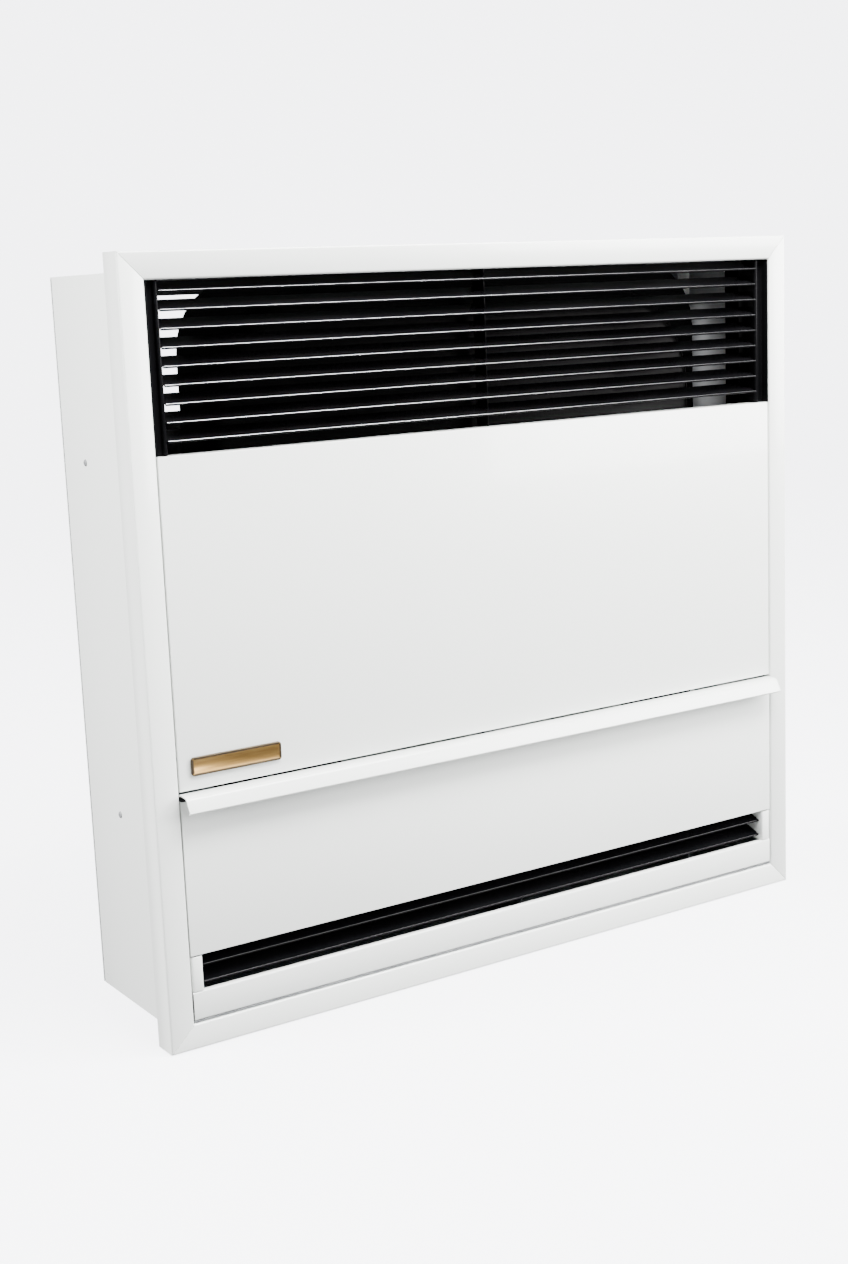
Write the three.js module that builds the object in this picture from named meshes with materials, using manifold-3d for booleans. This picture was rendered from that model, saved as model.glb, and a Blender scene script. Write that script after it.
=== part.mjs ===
// Wall mounted gas heater: a recessed direct-vent wall furnace.
// Pieces are placed from the trim frame's lower left front corner: x right, y back to the wall, z up.
import * as THREE from 'three';
import { mergeVertices } from 'three/addons/utils/BufferGeometryUtils.js';
import Module from 'manifold-3d';

const wasm = await Module();
wasm.setup();

// ---- driving dimensions, millimetres ----
const TRIM_WIDTH = 756;
const TRIM_HEIGHT = 705;
const DEPTH = 150; // front of the trim to the wall
const MIDDLE = TRIM_WIDTH / 2;
const SHEET = 1.2; // gauge of the cabinet and front sheets
const BEND = 1; // inside radius of every bend
const FIT = 0.3; // gap between pieces that touch

const TRIM_FACE = 24;
const TRIM_FLANGE = 27.5;
const TRIM_RETURN = 9;
const MITRE_GAP = 0.4;

const CASE_BOTTOM = 25;
const CASE_SINK = 17; // from the trim's top edge down to the case's
const CASE_TOP = TRIM_HEIGHT - CASE_SINK;
const CASE_LEG = 12; // depth of the side panels' inner legs
const CASE_REAR_FLANGE = 16;

const BACK_WINDOW = { inset: 62, width: 106, sink: 20, height: 109 };
const WALL_HOLE = { radius: 4, insetX: 30, sink: 48, bottom: 70 };
const PIPE_HOLE_GAP = 6;

const BLADE_COUNT = 9;
const BLADE_SINK = 33.6; // from the trim's top edge down to the top blade
const BLADE_TOP = TRIM_HEIGHT - BLADE_SINK;
const BLADE_PITCH = 15.82;
const BLADE_CLEARANCE = 11.84; // from the lowest blade down to the front panel
const PANEL_TOP = BLADE_TOP - (BLADE_COUNT - 1) * BLADE_PITCH - BLADE_CLEARANCE;
const PANEL_BOTTOM = 239.3;
const PANEL_GAP = 1.3; // between the front sheets and the trim
const PANEL_RECESS = 0.8;
const PANEL_RETURN = 14;
const PANEL_LEDGE = 21;

const BLADE_FRONT = 4.2;
const BLADE = { nose: 2.2, depth: 21, rise: 8.4, sheet: 1, tab: 1.8 };
const CHANNEL = { sheet: 1, leg: 8, face: 9.4, step: 3.5, lip: 4.4, web: 30, front: 0.9 };
const CENTRE_COMB = { sheet: 1.2, front: 13, back: 31 };

const DOOR_BOTTOM = 87.6;
const DOOR_TOP = 230;
const DOOR_RETURN = 12;
const HINGE_PIN = { radius: 1.5, reach: 5, above: 12, behind: 5.5, clearance: 0.1 };
const HINGE_EAR = { thickness: 2.2, boss: 4, back: 17, post: 3, overlap: 24 };
const LIP = {
  top: 237.2, leg: 22, ledge: 9.4, knuckle: 3.2, reach: 18.3, drop: 13.6, hem: 2.5, sheet: 1.2, inset: 8,
};
const MAGNET = { width: 46, depth: 12, height: 12 };

const STILE = { width: 11.2, top: 86, depth: 26 };
const INLET_BLADE_COUNT = 2;
const INLET_BLADE_TOP = 75.4;
const INLET_BLADE_PITCH = 16.2;
const INLET_BLADE_FRONT = 5.5;
const RAIL = { top: 53.4, ledge: 7, hook: 5, depth: 16 };

const BADGE = { left: 36.8, bottom: 252, width: 90, height: 17, thickness: 2.4, corner: 3 };

const DRUM = {
  inset: 78, bottom: 190, sink: 7, corner: 64, frontRim: 20, rearRim: 26,
  rimFront: 60, front: 36, back: 118, sheet: 1.5, crown: 15, frontCorner: 105, rearCorner: 54,
};
const drumHalfWidth = MIDDLE - DRUM.inset;
const drumTop = CASE_TOP - DRUM.sink;
const DRUM_STAND = { width: 26, height: 14, inset: 60, low: 250, sink: 152 };
const LINER = { sheet: 0.8, front: 13.5, back: 76, low: 245, sink: 4, flange: 12 };

const FLUE_HEIGHT = 455; // centre of the twin vent tubes
const FLUE = { radius: 38, wall: 1.2, recess: 1 };
const DUCT = { width: 150, depth: 24, bottom: 276, top: 526, sheet: 1.2, collarRadius: 60 };
const AIR_HOLE = { width: 100, height: 40, bottom: 288 };

const SUPPLY_Z = 140; // height of the gas way through the cock and the valve
const SUPPLY_Y = 78;
const OUTLET_Y = 62;
const SUPPLY = { inset: 52, run: 22.4, radius: 8.5, bend: 15, recess: 1, bore: 6.3, boreDepth: 24 };
const COCK = { length: 44, radius: 10, collar: 7.2, spindle: 4, spindleTop: 9, gap: 1 };
const LEVER = { length: 42, width: 12, thickness: 3 };
const VALVE = { width: 78, front: 50, depth: 56, height: 66, boss: 9, bossLength: 9 };
const supplyX = TRIM_WIDTH - SUPPLY.inset;
const supplyStart = supplyX - SUPPLY.run;
const cockStart = supplyStart - FIT - COCK.length;
const inletEnd = cockStart - FIT;
const valveRight = inletEnd - VALVE.bossLength;
const valveLeft = valveRight - VALVE.width;
const outletEnd = valveLeft - VALVE.bossLength;

const BRIDGE = { fromValve: 126, width: 228, front: 46, back: 112, top: 95, sheet: 1.5, foot: 14 };
const STEM = { radius: 4, insert: 8, press: 5, clearance: 0.15 };
const KNOB = { inset: 21, z: 130, radius: 17, disc: 8, gap: 6, barWidth: 9, barLength: 30, barDepth: 8 };
const DIAL = { inset: 57, z: 130, radius: 11, length: 11, spindle: 3, insert: 6 };
const IGNITER = { fromValve: 98, radius: 9, front: 42, length: 46, bore: 20 };
const BUTTON = { radius: 5, cap: 7, capLength: 5, gap: 6, insert: 12, clearance: 0.2 };
const knobX = valveLeft + KNOB.inset;
const dialX = valveLeft + DIAL.inset;
const igniterX = valveLeft - IGNITER.fromValve;

const GAS_PIPE = { radius: 6, fromValve: 30, bend: 8, front: 22, nozzle: 8 };
const BURNER_DOOR = { width: 320, pastPipe: 20, bottom: 238, top: 282, cover: 10, thickness: 1.5 };
const GASKET_THICKNESS = 1.5;
const BURNER = { radius: 14, wall: 1.2, length: 270, fromPipe: 22, y: 80, z: 258, ports: 16, strap: 16 };
const SIGHT = { inset: 80, z: 262, radius: 11, glass: 3, lap: 2 };
const PILOT = { fromPipe: 116, z: 250, front: 46, width: 20, depth: 16, height: 24, valveZ: 118.8 };
const CAPILLARY = { radius: 2, bend: 6, front: 20 };
const THERMOCOUPLE = { fromPilot: 18, tip: 60, valveY: 90, valveZ: 106 };
const ELECTRODE = { fromPilot: 20, radius: 3, start: 22, tip: 60 };
const gasPipeX = valveLeft - GAS_PIPE.fromValve;
const doorwayRight = gasPipeX + BURNER_DOOR.pastPipe;
const doorwayLeft = doorwayRight - BURNER_DOOR.width;
const burnerRight = gasPipeX - BURNER.fromPipe;
const burnerLeft = burnerRight - BURNER.length;
const sightX = doorwayLeft + SIGHT.inset;
const pilotX = gasPipeX - PILOT.fromPipe;
const thermocoupleX = pilotX - THERMOCOUPLE.fromPilot;
const electrodeX = pilotX + ELECTRODE.fromPilot;

// ---- colours ----
const paint = (color, roughness, metalness) => ({ color, roughness, metalness });
const WHITE = paint(0xeceeea, 0.35, 0);
const BLACK = paint(0x0b0b0c, 0.22, 0);
const ENAMEL = paint(0x151515, 0.3, 0);
const STEEL = paint(0xa9abad, 0.45, 0.9);
const BRASS = paint(0xb79145, 0.3, 1);
const CAST = paint(0x8f9294, 0.5, 0.8);
const KNOB_PLASTIC = paint(0x1a1a1c, 0.45, 0);
const FIBRE = paint(0xd8d2c4, 0.95, 0);
const GLASS = paint(0xbfc8c8, 0.05, 0);
const CERAMIC = paint(0xf1efe8, 0.3, 0);
const RED = paint(0xb3201c, 0.4, 0);

// ---- shared makers ----
const heater = new THREE.Group();
heater.position.set(-TRIM_WIDTH / 2, -DEPTH, -TRIM_HEIGHT / 2);

function add(name, geometry, finish, x = 0, y = 0, z = 0) {
  const mesh = new THREE.Mesh(geometry, new THREE.MeshStandardMaterial(finish));
  mesh.name = name;
  mesh.position.set(x, y, z);
  heater.add(mesh);
  return mesh;
}

// A box from its lowest corner and its size.
function block(x, y, z, width, depth, height) {
  return new THREE.BoxGeometry(width, depth, height).translate(x + width / 2, y + depth / 2, z + height / 2);
}

function cylinder(radius, length, axis, x, y, z, sides = 24) {
  const geometry = new THREE.CylinderGeometry(radius, radius, length, sides);
  if (axis === 'x') geometry.rotateZ(Math.PI / 2);
  if (axis === 'z') geometry.rotateX(Math.PI / 2);
  return geometry.translate(x, y, z);
}

function toSolid(geometry) {
  const bare = geometry.clone();
  bare.deleteAttribute('normal');
  bare.deleteAttribute('uv');
  const merged = mergeVertices(bare, 1e-4);
  const vertProperties = new Float32Array(merged.attributes.position.array);
  const triVerts = new Uint32Array(merged.index.array);
  return new wasm.Manifold(new wasm.Mesh({ numProp: 3, vertProperties, triVerts }));
}

function toGeometry(solid) {
  const mesh = solid.getMesh();
  const geometry = new THREE.BufferGeometry();
  geometry.setAttribute('position', new THREE.BufferAttribute(new Float32Array(mesh.vertProperties), 3));
  geometry.setIndex(new THREE.BufferAttribute(new Uint32Array(mesh.triVerts), 1));
  return geometry;
}

function join(...geometries) {
  return toGeometry(geometries.map(toSolid).reduce((whole, next) => whole.add(next)));
}

function cut(geometry, ...tools) {
  return toGeometry(tools.map(toSolid).reduce((whole, next) => whole.subtract(next), toSolid(geometry)));
}

// The closed outline of bent sheet: path is its outer face, and the metal lies on its left.
function sheetOutline(path, sheet, bend = BEND) {
  const outer = [];
  const inner = [];
  const put = (point, normal) => {
    outer.push(point);
    inner.push(point.clone().addScaledVector(normal, sheet));
  };
  const leftOf = (direction) => new THREE.Vector2(-direction.y, direction.x);
  const points = path.map(([u, v]) => new THREE.Vector2(u, v));
  for (let i = 0; i < points.length; i += 1) {
    const before = i > 0 ? points[i].clone().sub(points[i - 1]).normalize() : null;
    const after = i < points.length - 1 ? points[i + 1].clone().sub(points[i]).normalize() : null;
    if (!before || !after) {
      put(points[i], leftOf(before || after));
      continue;
    }
    const turn = Math.atan2(before.cross(after), before.dot(after));
    const radius = turn > 0 ? bend + sheet : bend;
    const side = Math.sign(turn);
    const setback = radius * Math.tan(Math.abs(turn) / 2);
    const start = points[i].clone().addScaledVector(before, -setback);
    const centre = start.clone().addScaledVector(leftOf(before), side * radius);
    const steps = 3;
    for (let k = 0; k <= steps; k += 1) {
      const normal = leftOf(before).rotateAround(new THREE.Vector2(), (turn * k) / steps);
      put(centre.clone().addScaledVector(normal, -side * radius), normal);
    }
  }
  return new THREE.Shape([...outer, ...inner.reverse()]);
}

const AXES = {
  x: new THREE.Matrix4().makeBasis(
    new THREE.Vector3(0, 1, 0), new THREE.Vector3(0, 0, 1), new THREE.Vector3(1, 0, 0)),
  y: new THREE.Matrix4().makeBasis(
    new THREE.Vector3(1, 0, 0), new THREE.Vector3(0, 0, 1), new THREE.Vector3(0, -1, 0)),
  z: new THREE.Matrix4(),
};

// Extrudes a shape along x (drawn in y, z), forward along -y (drawn in x, z) or along z (drawn in x, y).
function extrude(shape, axis, length, curveSegments = 6) {
  const geometry = new THREE.ExtrudeGeometry(shape, { depth: length, bevelEnabled: false, curveSegments });
  return geometry.applyMatrix4(AXES[axis]);
}

function bar(path, sheet, axis, length) {
  return extrude(sheetOutline(path, sheet), axis, length);
}

// Mirrors a left-hand geometry across the heater's middle, with its faces turned to point out again.
function mirrored(geometry) {
  const copy = geometry.clone().scale(-1, 1, 1).translate(TRIM_WIDTH, 0, 0);
  const flat = copy.index ? copy.toNonIndexed() : copy;
  const position = flat.attributes.position;
  for (let i = 0; i < position.count; i += 3) {
    const swap = [position.getX(i), position.getY(i), position.getZ(i)];
    position.setXYZ(i, position.getX(i + 1), position.getY(i + 1), position.getZ(i + 1));
    position.setXYZ(i + 1, ...swap);
  }
  flat.computeVertexNormals();
  return flat;
}

// A round tube or rod along straight runs with rounded bends.
function pipe(points, radius, bend, halfSides = 5) {
  const path = new THREE.CurvePath();
  const corners = points.map((p) => new THREE.Vector3(...p));
  let from = corners[0];
  for (let i = 1; i < corners.length - 1; i += 1) {
    const enter = corners[i].clone().sub(corners[i - 1]).normalize();
    const leave = corners[i + 1].clone().sub(corners[i]).normalize();
    const start = corners[i].clone().addScaledVector(enter, -bend);
    const end = corners[i].clone().addScaledVector(leave, bend);
    path.add(new THREE.LineCurve3(from, start));
    path.add(new THREE.QuadraticBezierCurve3(start, corners[i], end));
    from = end;
  }
  path.add(new THREE.LineCurve3(from, corners[corners.length - 1]));
  const section = new THREE.Shape();
  section.absarc(0, 0, radius, 0, Math.PI * 2);
  const steps = Math.max(2, (points.length - 1) * 8);
  return new THREE.ExtrudeGeometry(section, { extrudePath: path, steps, curveSegments: halfSides });
}

function ring(outer, inner, length, axis, x, y, z, sides = 40) {
  const bore = cylinder(inner, length + 2, axis, x, y, z, sides);
  return cut(cylinder(outer, length, axis, x, y, z, sides), bore);
}

// ---- trim frame: four mitred members that cover the edge of the wall opening ----
function trimMember(length) {
  const path = [[0, TRIM_FLANGE], [0, 0], [TRIM_FACE, 0], [TRIM_FACE, TRIM_RETURN]];
  const geometry = bar(path, SHEET, 'z', 1);
  const position = geometry.attributes.position;
  for (let i = 0; i < position.count; i += 1) {
    const along = position.getX(i) + MITRE_GAP / 2;
    position.setZ(i, position.getZ(i) < 0.5 ? along : length - along);
  }
  geometry.computeVertexNormals();
  return geometry;
}

function addTrim() {
  add('trim_left', trimMember(TRIM_HEIGHT), WHITE);
  add('trim_right', mirrored(trimMember(TRIM_HEIGHT)), WHITE);
  const turnToX = new THREE.Matrix4().makeBasis(
    new THREE.Vector3(0, 0, 1), new THREE.Vector3(0, 1, 0), new THREE.Vector3(-1, 0, 0));
  add('trim_bottom', trimMember(TRIM_WIDTH).applyMatrix4(turnToX), WHITE, TRIM_WIDTH);
  const turnDown = new THREE.Matrix4().makeBasis(
    new THREE.Vector3(0, 0, -1), new THREE.Vector3(0, 1, 0), new THREE.Vector3(1, 0, 0));
  add('trim_top', trimMember(TRIM_WIDTH).applyMatrix4(turnDown), WHITE, 0, 0, TRIM_HEIGHT);
}

// ---- cabinet ----
const caseLeft = SHEET + FIT;
const caseFront = SHEET + FIT;
const caseLegX = TRIM_FACE - SHEET - FIT; // outer face of the side panels' inner legs
const backFace = DEPTH - SHEET;
const caseBack = backFace - FIT;
const caseInside = caseLeft + SHEET + FIT;

function addSidePanels() {
  const path = [
    [caseLeft + CASE_REAR_FLANGE, caseBack], [caseLeft, caseBack], [caseLeft, caseFront],
    [caseLegX, caseFront], [caseLegX, caseFront + CASE_LEG],
  ];
  const geometry = bar(path, SHEET, 'z', CASE_TOP - CASE_BOTTOM);
  add('side_panel_left', geometry, WHITE, 0, 0, CASE_BOTTOM);
  add('side_panel_right', mirrored(geometry), WHITE, 0, 0, CASE_BOTTOM);
}

// The top and bottom sheets lie between the sides; the top turns up behind the trim at the front.
function addTopAndBase() {
  const rear = caseBack - SHEET - FIT;
  const width = TRIM_WIDTH - 2 * caseInside;
  const flangeBack = caseFront + SHEET;
  const flangeTop = TRIM_HEIGHT - SHEET - BEND - FIT;
  const legRoom = TRIM_FACE + 2 * FIT - caseInside;
  const notch = (x, z) => block(x, caseFront - 1, z, legRoom, CASE_LEG + FIT + 1, SHEET + 1);
  const notches = (z) => [notch(-FIT, z), notch(width - legRoom + FIT, z)];
  const topPath = [
    [rear, CASE_TOP - CASE_REAR_FLANGE], [rear, CASE_TOP], [flangeBack, CASE_TOP], [flangeBack, flangeTop],
  ];
  const top = bar(topPath, SHEET, 'x', width);
  add('top_panel', cut(top, ...notches(CASE_TOP - SHEET - 1 + FIT)), WHITE, caseInside);
  const basePath = [[caseFront, CASE_BOTTOM], [rear, CASE_BOTTOM], [rear, CASE_BOTTOM + CASE_REAR_FLANGE]];
  const base = bar(basePath, SHEET, 'x', width);
  add('base_panel', cut(base, ...notches(CASE_BOTTOM - FIT)), STEEL, caseInside);
}

function addBackPanel() {
  const width = TRIM_WIDTH - 2 * caseLeft;
  const plate = block(caseLeft, backFace, CASE_BOTTOM, width, SHEET, CASE_TOP - CASE_BOTTOM);
  const middle = DEPTH;
  const windowBottom = CASE_TOP - BACK_WINDOW.sink - BACK_WINDOW.height;
  const window = (x) => block(x, backFace - 5, windowBottom, BACK_WINDOW.width, 10, BACK_WINDOW.height);
  const holes = [
    window(BACK_WINDOW.inset),
    window(TRIM_WIDTH - BACK_WINDOW.inset - BACK_WINDOW.width),
    cylinder(DUCT.collarRadius + FIT, 10, 'y', MIDDLE, middle, FLUE_HEIGHT, 40),
    cylinder(SUPPLY.radius + PIPE_HOLE_GAP, 10, 'y', supplyX, middle, SUPPLY_Z),
  ];
  for (const x of [WALL_HOLE.insetX, TRIM_WIDTH - WALL_HOLE.insetX]) {
    for (const z of [WALL_HOLE.bottom, CASE_TOP - WALL_HOLE.sink]) {
      holes.push(cylinder(WALL_HOLE.radius, 10, 'y', x, middle, z, 16));
    }
  }
  const { width: standWidth, height: standHeight, inset, low, sink } = DRUM_STAND;
  const standFront = DRUM.back + FIT;
  const stands = [];
  for (const x of [MIDDLE - drumHalfWidth + inset, MIDDLE + drumHalfWidth - inset]) {
    for (const z of [low, drumTop - sink]) {
      stands.push(block(x - standWidth / 2, standFront, z, standWidth, backFace + SHEET / 2 - standFront,
        standHeight));
    }
  }
  add('back_panel', join(cut(plate, ...holes), ...stands), STEEL);
}

// ---- warm air grille: nine sloping blades between two stepped channels ----
const channelLeg = TRIM_FACE + FIT; // outer face of the left channel's leg
const channelStep = channelLeg + CHANNEL.face;
const channelWeb = channelStep + CHANNEL.lip; // inner face of the left channel's web
const channelBottom = PANEL_TOP + FIT;
const channelTop = TRIM_HEIGHT - TRIM_FACE - FIT;
const bladeAngle = Math.atan2(BLADE.rise, BLADE.depth);

// A rounded nose along the front edge, and a sheet that rises to the back.
function bladeShape() {
  const radius = BLADE.nose / 2;
  const half = BLADE.sheet / 2;
  const along = new THREE.Vector2(Math.cos(bladeAngle), Math.sin(bladeAngle));
  const up = new THREE.Vector2(-along.y, along.x);
  const reach = BLADE.depth / along.x;
  const at = (d, h) => [radius + along.x * d + up.x * h, along.y * d + up.y * h];
  const meet = Math.asin(half / radius);
  const shape = new THREE.Shape();
  shape.moveTo(...at(reach, -half));
  shape.lineTo(...at(reach, half));
  shape.lineTo(...at(radius * Math.cos(meet), half));
  shape.absarc(radius, 0, radius, bladeAngle + meet, bladeAngle + 2 * Math.PI - meet, false);
  shape.closePath();
  return shape;
}

function bladeSlot(x, y, z, clearance) {
  const width = BLADE.depth * 0.6;
  const tab = block(0, BLADE.depth * 0.2 - clearance, -BLADE.sheet / 2 - clearance, BLADE.tab + FIT,
    width + 2 * clearance, BLADE.sheet + 2 * clearance);
  return tab.rotateX(bladeAngle).translate(x, y + BLADE.nose / 2, z);
}

// The gap in the centre comb that one blade's sheet lies in.
function combNotch(z) {
  const reach = BLADE.depth / Math.cos(bladeAngle) + FIT;
  const height = BLADE.sheet + 2 * FIT;
  const notch = block(-CENTRE_COMB.sheet, 0, -height / 2, 2 * CENTRE_COMB.sheet, reach, height);
  return notch.rotateX(bladeAngle).translate(0, BLADE_FRONT + BLADE.nose / 2, z);
}

function louvreBlade(length) {
  const blade = extrude(bladeShape(), 'x', length, 5);
  return join(blade, bladeSlot(-BLADE.tab, 0, 0, 0), bladeSlot(length - FIT, 0, 0, 0));
}

function stepChannel(height) {
  const start = CHANNEL.front;
  const faceY = start + CHANNEL.leg;
  const lipY = faceY - CHANNEL.step;
  const legInside = channelLeg + CHANNEL.sheet;
  return bar([
    [legInside, start], [legInside, faceY], [channelStep, faceY],
    [channelStep, lipY], [channelWeb, lipY], [channelWeb, CHANNEL.web],
  ], CHANNEL.sheet, 'z', height);
}

function addOutletGrille() {
  const bladeZ = Array.from({ length: BLADE_COUNT }, (_, i) => BLADE_TOP - i * BLADE_PITCH);
  const slots = bladeZ.map((z) => bladeSlot(channelWeb - BLADE.tab, BLADE_FRONT, z - channelBottom, FIT));
  const channel = cut(stepChannel(channelTop - channelBottom), ...slots);
  add('grille_channel_left', channel, BLACK, 0, 0, channelBottom);
  add('grille_channel_right', mirrored(channel), BLACK, 0, 0, channelBottom);
  const blade = louvreBlade(TRIM_WIDTH - 2 * (channelWeb + FIT));
  bladeZ.forEach((z, i) => add(`louvre_blade_${i + 1}`, blade, BLACK, channelWeb + FIT, BLADE_FRONT, z));
  const { sheet, front, back } = CENTRE_COMB;
  const strip = block(-sheet / 2, front, 0, sheet, back - front, CASE_TOP - SHEET - FIT - channelBottom);
  const comb = cut(strip, ...bladeZ.map((z) => combNotch(z - channelBottom)));
  add('grille_centre_comb', comb, BLACK, MIDDLE, 0, channelBottom);
}

// ---- fixed front panel and its plate ----
const panelLeft = TRIM_FACE + PANEL_GAP;
const panelWidth = TRIM_WIDTH - 2 * panelLeft;

function pan(width, depth, height) {
  const inner = block(SHEET, SHEET, SHEET, width - 2 * SHEET, depth, height - 2 * SHEET);
  return cut(block(0, 0, 0, width, depth, height), inner);
}

function addFrontPanel() {
  const height = PANEL_TOP - PANEL_BOTTOM;
  const ledgeDepth = PANEL_LEDGE - PANEL_RETURN + SHEET;
  const ledge = block(0, PANEL_RETURN - SHEET, height - SHEET, panelWidth, ledgeDepth, SHEET);
  const footReach = panelLeft - caseLegX - FIT;
  const footY = PANEL_RETURN - SHEET;
  const foot = (x) => block(x, footY, SHEET, footReach + SHEET, SHEET, height - 2 * SHEET);
  const shell = pan(panelWidth, PANEL_RETURN, height);
  const panel = join(shell, ledge, foot(-footReach), foot(panelWidth - SHEET));
  add('front_panel', panel, WHITE, panelLeft, PANEL_RECESS, PANEL_BOTTOM);
  const plate = new THREE.Shape();
  const { width, height: tall, corner } = BADGE;
  plate.moveTo(corner, 0);
  plate.lineTo(width - corner, 0);
  plate.absarc(width - corner, corner, corner, -Math.PI / 2, 0);
  plate.absarc(width - corner, tall - corner, corner, 0, Math.PI / 2);
  plate.absarc(corner, tall - corner, corner, Math.PI / 2, Math.PI);
  plate.absarc(corner, corner, corner, Math.PI, Math.PI * 1.5);
  const badge = extrude(plate, 'y', BADGE.thickness, 3);
  add('badge_plate', badge, BRASS, BADGE.left, PANEL_RECESS - FIT, BADGE.bottom);
}

// ---- access door, hinged near its bottom edge ----
const doorHeight = DOOR_TOP - DOOR_BOTTOM;
const hingeY = PANEL_RECESS + HINGE_PIN.behind;
const hingeZ = DOOR_BOTTOM + HINGE_PIN.above;
const earLeft = panelLeft + SHEET + FIT;
const earRight = earLeft + HINGE_EAR.thickness;

// The door's sheet is open at the top, where the pull lip closes it, and notched below for the hinge ears.
function addDoor() {
  const bore = cylinder(HINGE_PIN.radius + HINGE_PIN.clearance, panelWidth + 10, 'x',
    panelWidth / 2, HINGE_PIN.behind, HINGE_PIN.above, 20);
  const openTop = block(SHEET, SHEET, doorHeight - 2 * SHEET, panelWidth - 2 * SHEET, DOOR_RETURN, 3 * SHEET);
  const notchWidth = earRight + 2 - panelLeft - SHEET;
  const notch = (x) => block(x, SHEET, -1, notchWidth, DOOR_RETURN, SHEET + 2);
  const body = pan(panelWidth, DOOR_RETURN, doorHeight);
  const door = cut(body, bore, openTop, notch(SHEET), notch(panelWidth - SHEET - notchWidth));
  add('access_door', door, WHITE, panelLeft, PANEL_RECESS, DOOR_BOTTOM);
  const legBack = PANEL_RECESS + SHEET + FIT + LIP.sheet;
  const slope = 0.7;
  const path = [
    [legBack, LIP.top - LIP.leg], [legBack, LIP.top], [-LIP.ledge, LIP.top - slope],
    [-LIP.ledge - LIP.knuckle, LIP.top - slope - LIP.knuckle * 0.6],
    [-LIP.reach, LIP.top - LIP.drop], [-LIP.reach + LIP.hem, LIP.top - LIP.drop - LIP.hem * 0.65],
  ];
  const cutHeight = LIP.leg + 1 - LIP.sheet - BEND;
  const endCut = (x) => block(x, 0, LIP.top - LIP.leg - 1, LIP.inset + 1, legBack + 1, cutHeight);
  const lip = cut(bar(path, LIP.sheet, 'x', panelWidth), endCut(-1), endCut(panelWidth - LIP.inset));
  add('pull_lip', lip, WHITE, panelLeft);
  const magnetTop = PANEL_BOTTOM - FIT;
  add('door_magnet', block(0, 0, -MAGNET.height, MAGNET.width, MAGNET.depth, MAGNET.height), BLACK,
    MIDDLE - MAGNET.width / 2, legBack + FIT, magnetTop);
  const pinLeft = panelLeft + SHEET / 4;
  const { radius, reach } = HINGE_PIN;
  const pin = cylinder(radius, reach, 'x', pinLeft + reach / 2, hingeY, hingeZ, 20);
  add('door_pin_left', pin, STEEL);
  add('door_pin_right', mirrored(pin), STEEL);
}

// ---- cool air grille below the door ----
const railBottom = CASE_BOTTOM + SHEET + FIT;
const stileBottom = RAIL.top + FIT;
const stileWeb = panelLeft + STILE.width;
const inletBladeZ = Array.from(
  { length: INLET_BLADE_COUNT }, (_, i) => INLET_BLADE_TOP - i * INLET_BLADE_PITCH);

// A channel with its back open, and a gooseneck ear that carries the hinge pin.
function stile() {
  const front = PANEL_RECESS;
  const back = front + STILE.depth;
  const path = [[panelLeft, back], [panelLeft, front], [stileWeb, front], [stileWeb, back]];
  const height = STILE.top - stileBottom;
  const channel = bar(path, SHEET, 'z', height);
  const postFront = hingeY + HINGE_EAR.back - HINGE_EAR.post;
  const base = height - HINGE_EAR.overlap;
  const earTop = hingeZ + HINGE_EAR.boss - stileBottom;
  const root = block(panelLeft + SHEET / 2, postFront, base, earRight - panelLeft - SHEET / 2,
    HINGE_EAR.post, HINGE_EAR.overlap);
  const post = block(earLeft, postFront, height - 1,
    HINGE_EAR.thickness, HINGE_EAR.post, earTop - height + 1);
  const arm = block(earLeft, hingeY, earTop - 2 * HINGE_EAR.boss, HINGE_EAR.thickness,
    HINGE_EAR.back, 2 * HINGE_EAR.boss);
  const boss = cylinder(HINGE_EAR.boss, HINGE_EAR.thickness, 'x',
    (earLeft + earRight) / 2, hingeY, hingeZ - stileBottom, 24);
  const bore = cylinder(HINGE_PIN.radius + HINGE_PIN.clearance, 3 * HINGE_EAR.thickness, 'x',
    (earLeft + earRight) / 2, hingeY, hingeZ - stileBottom, 20);
  const slots = inletBladeZ.map(
    (z) => bladeSlot(stileWeb - BLADE.tab, INLET_BLADE_FRONT, z - stileBottom, FIT));
  return cut(join(channel, root, post, arm, boss), bore, ...slots);
}

function addInletGrille() {
  const left = stile();
  add('inlet_stile_left', left, WHITE, 0, 0, stileBottom);
  add('inlet_stile_right', mirrored(left), WHITE, 0, 0, stileBottom);
  const length = TRIM_WIDTH - 2 * (stileWeb + FIT);
  const blade = louvreBlade(length);
  const bladeLeft = stileWeb + FIT;
  inletBladeZ.forEach((z, i) => add(`inlet_blade_${i + 1}`, blade, BLACK, bladeLeft, INLET_BLADE_FRONT, z));
  const front = PANEL_RECESS;
  const hookBack = front + RAIL.ledge;
  const path = [
    [hookBack, RAIL.top - RAIL.hook], [hookBack, RAIL.top], [front, RAIL.top],
    [front, railBottom], [front + RAIL.depth, railBottom],
  ];
  add('bottom_rail', bar(path, SHEET, 'x', panelWidth), WHITE, panelLeft);
}

// ---- heat exchanger drum: two pressed halves that meet at a rim ----
// Points round the drum's outline, drawn in by inset, at one depth.
function drumRing(inset, y, radius) {
  const right = drumHalfWidth - inset - radius;
  const low = DRUM.bottom + inset + radius;
  const high = drumTop - inset - radius;
  const centres = [[right, low, -0.5], [right, high, 0], [-right, high, 0.5], [-right, low, 1]];
  const steps = 8;
  const points = [];
  for (const [x, z, quarter] of centres) {
    for (let i = 0; i <= steps; i += 1) {
      const angle = Math.PI * (quarter + (0.5 * i) / steps);
      points.push([MIDDLE + x + radius * Math.cos(angle), y, z + radius * Math.sin(angle)]);
    }
  }
  return points;
}

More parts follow.
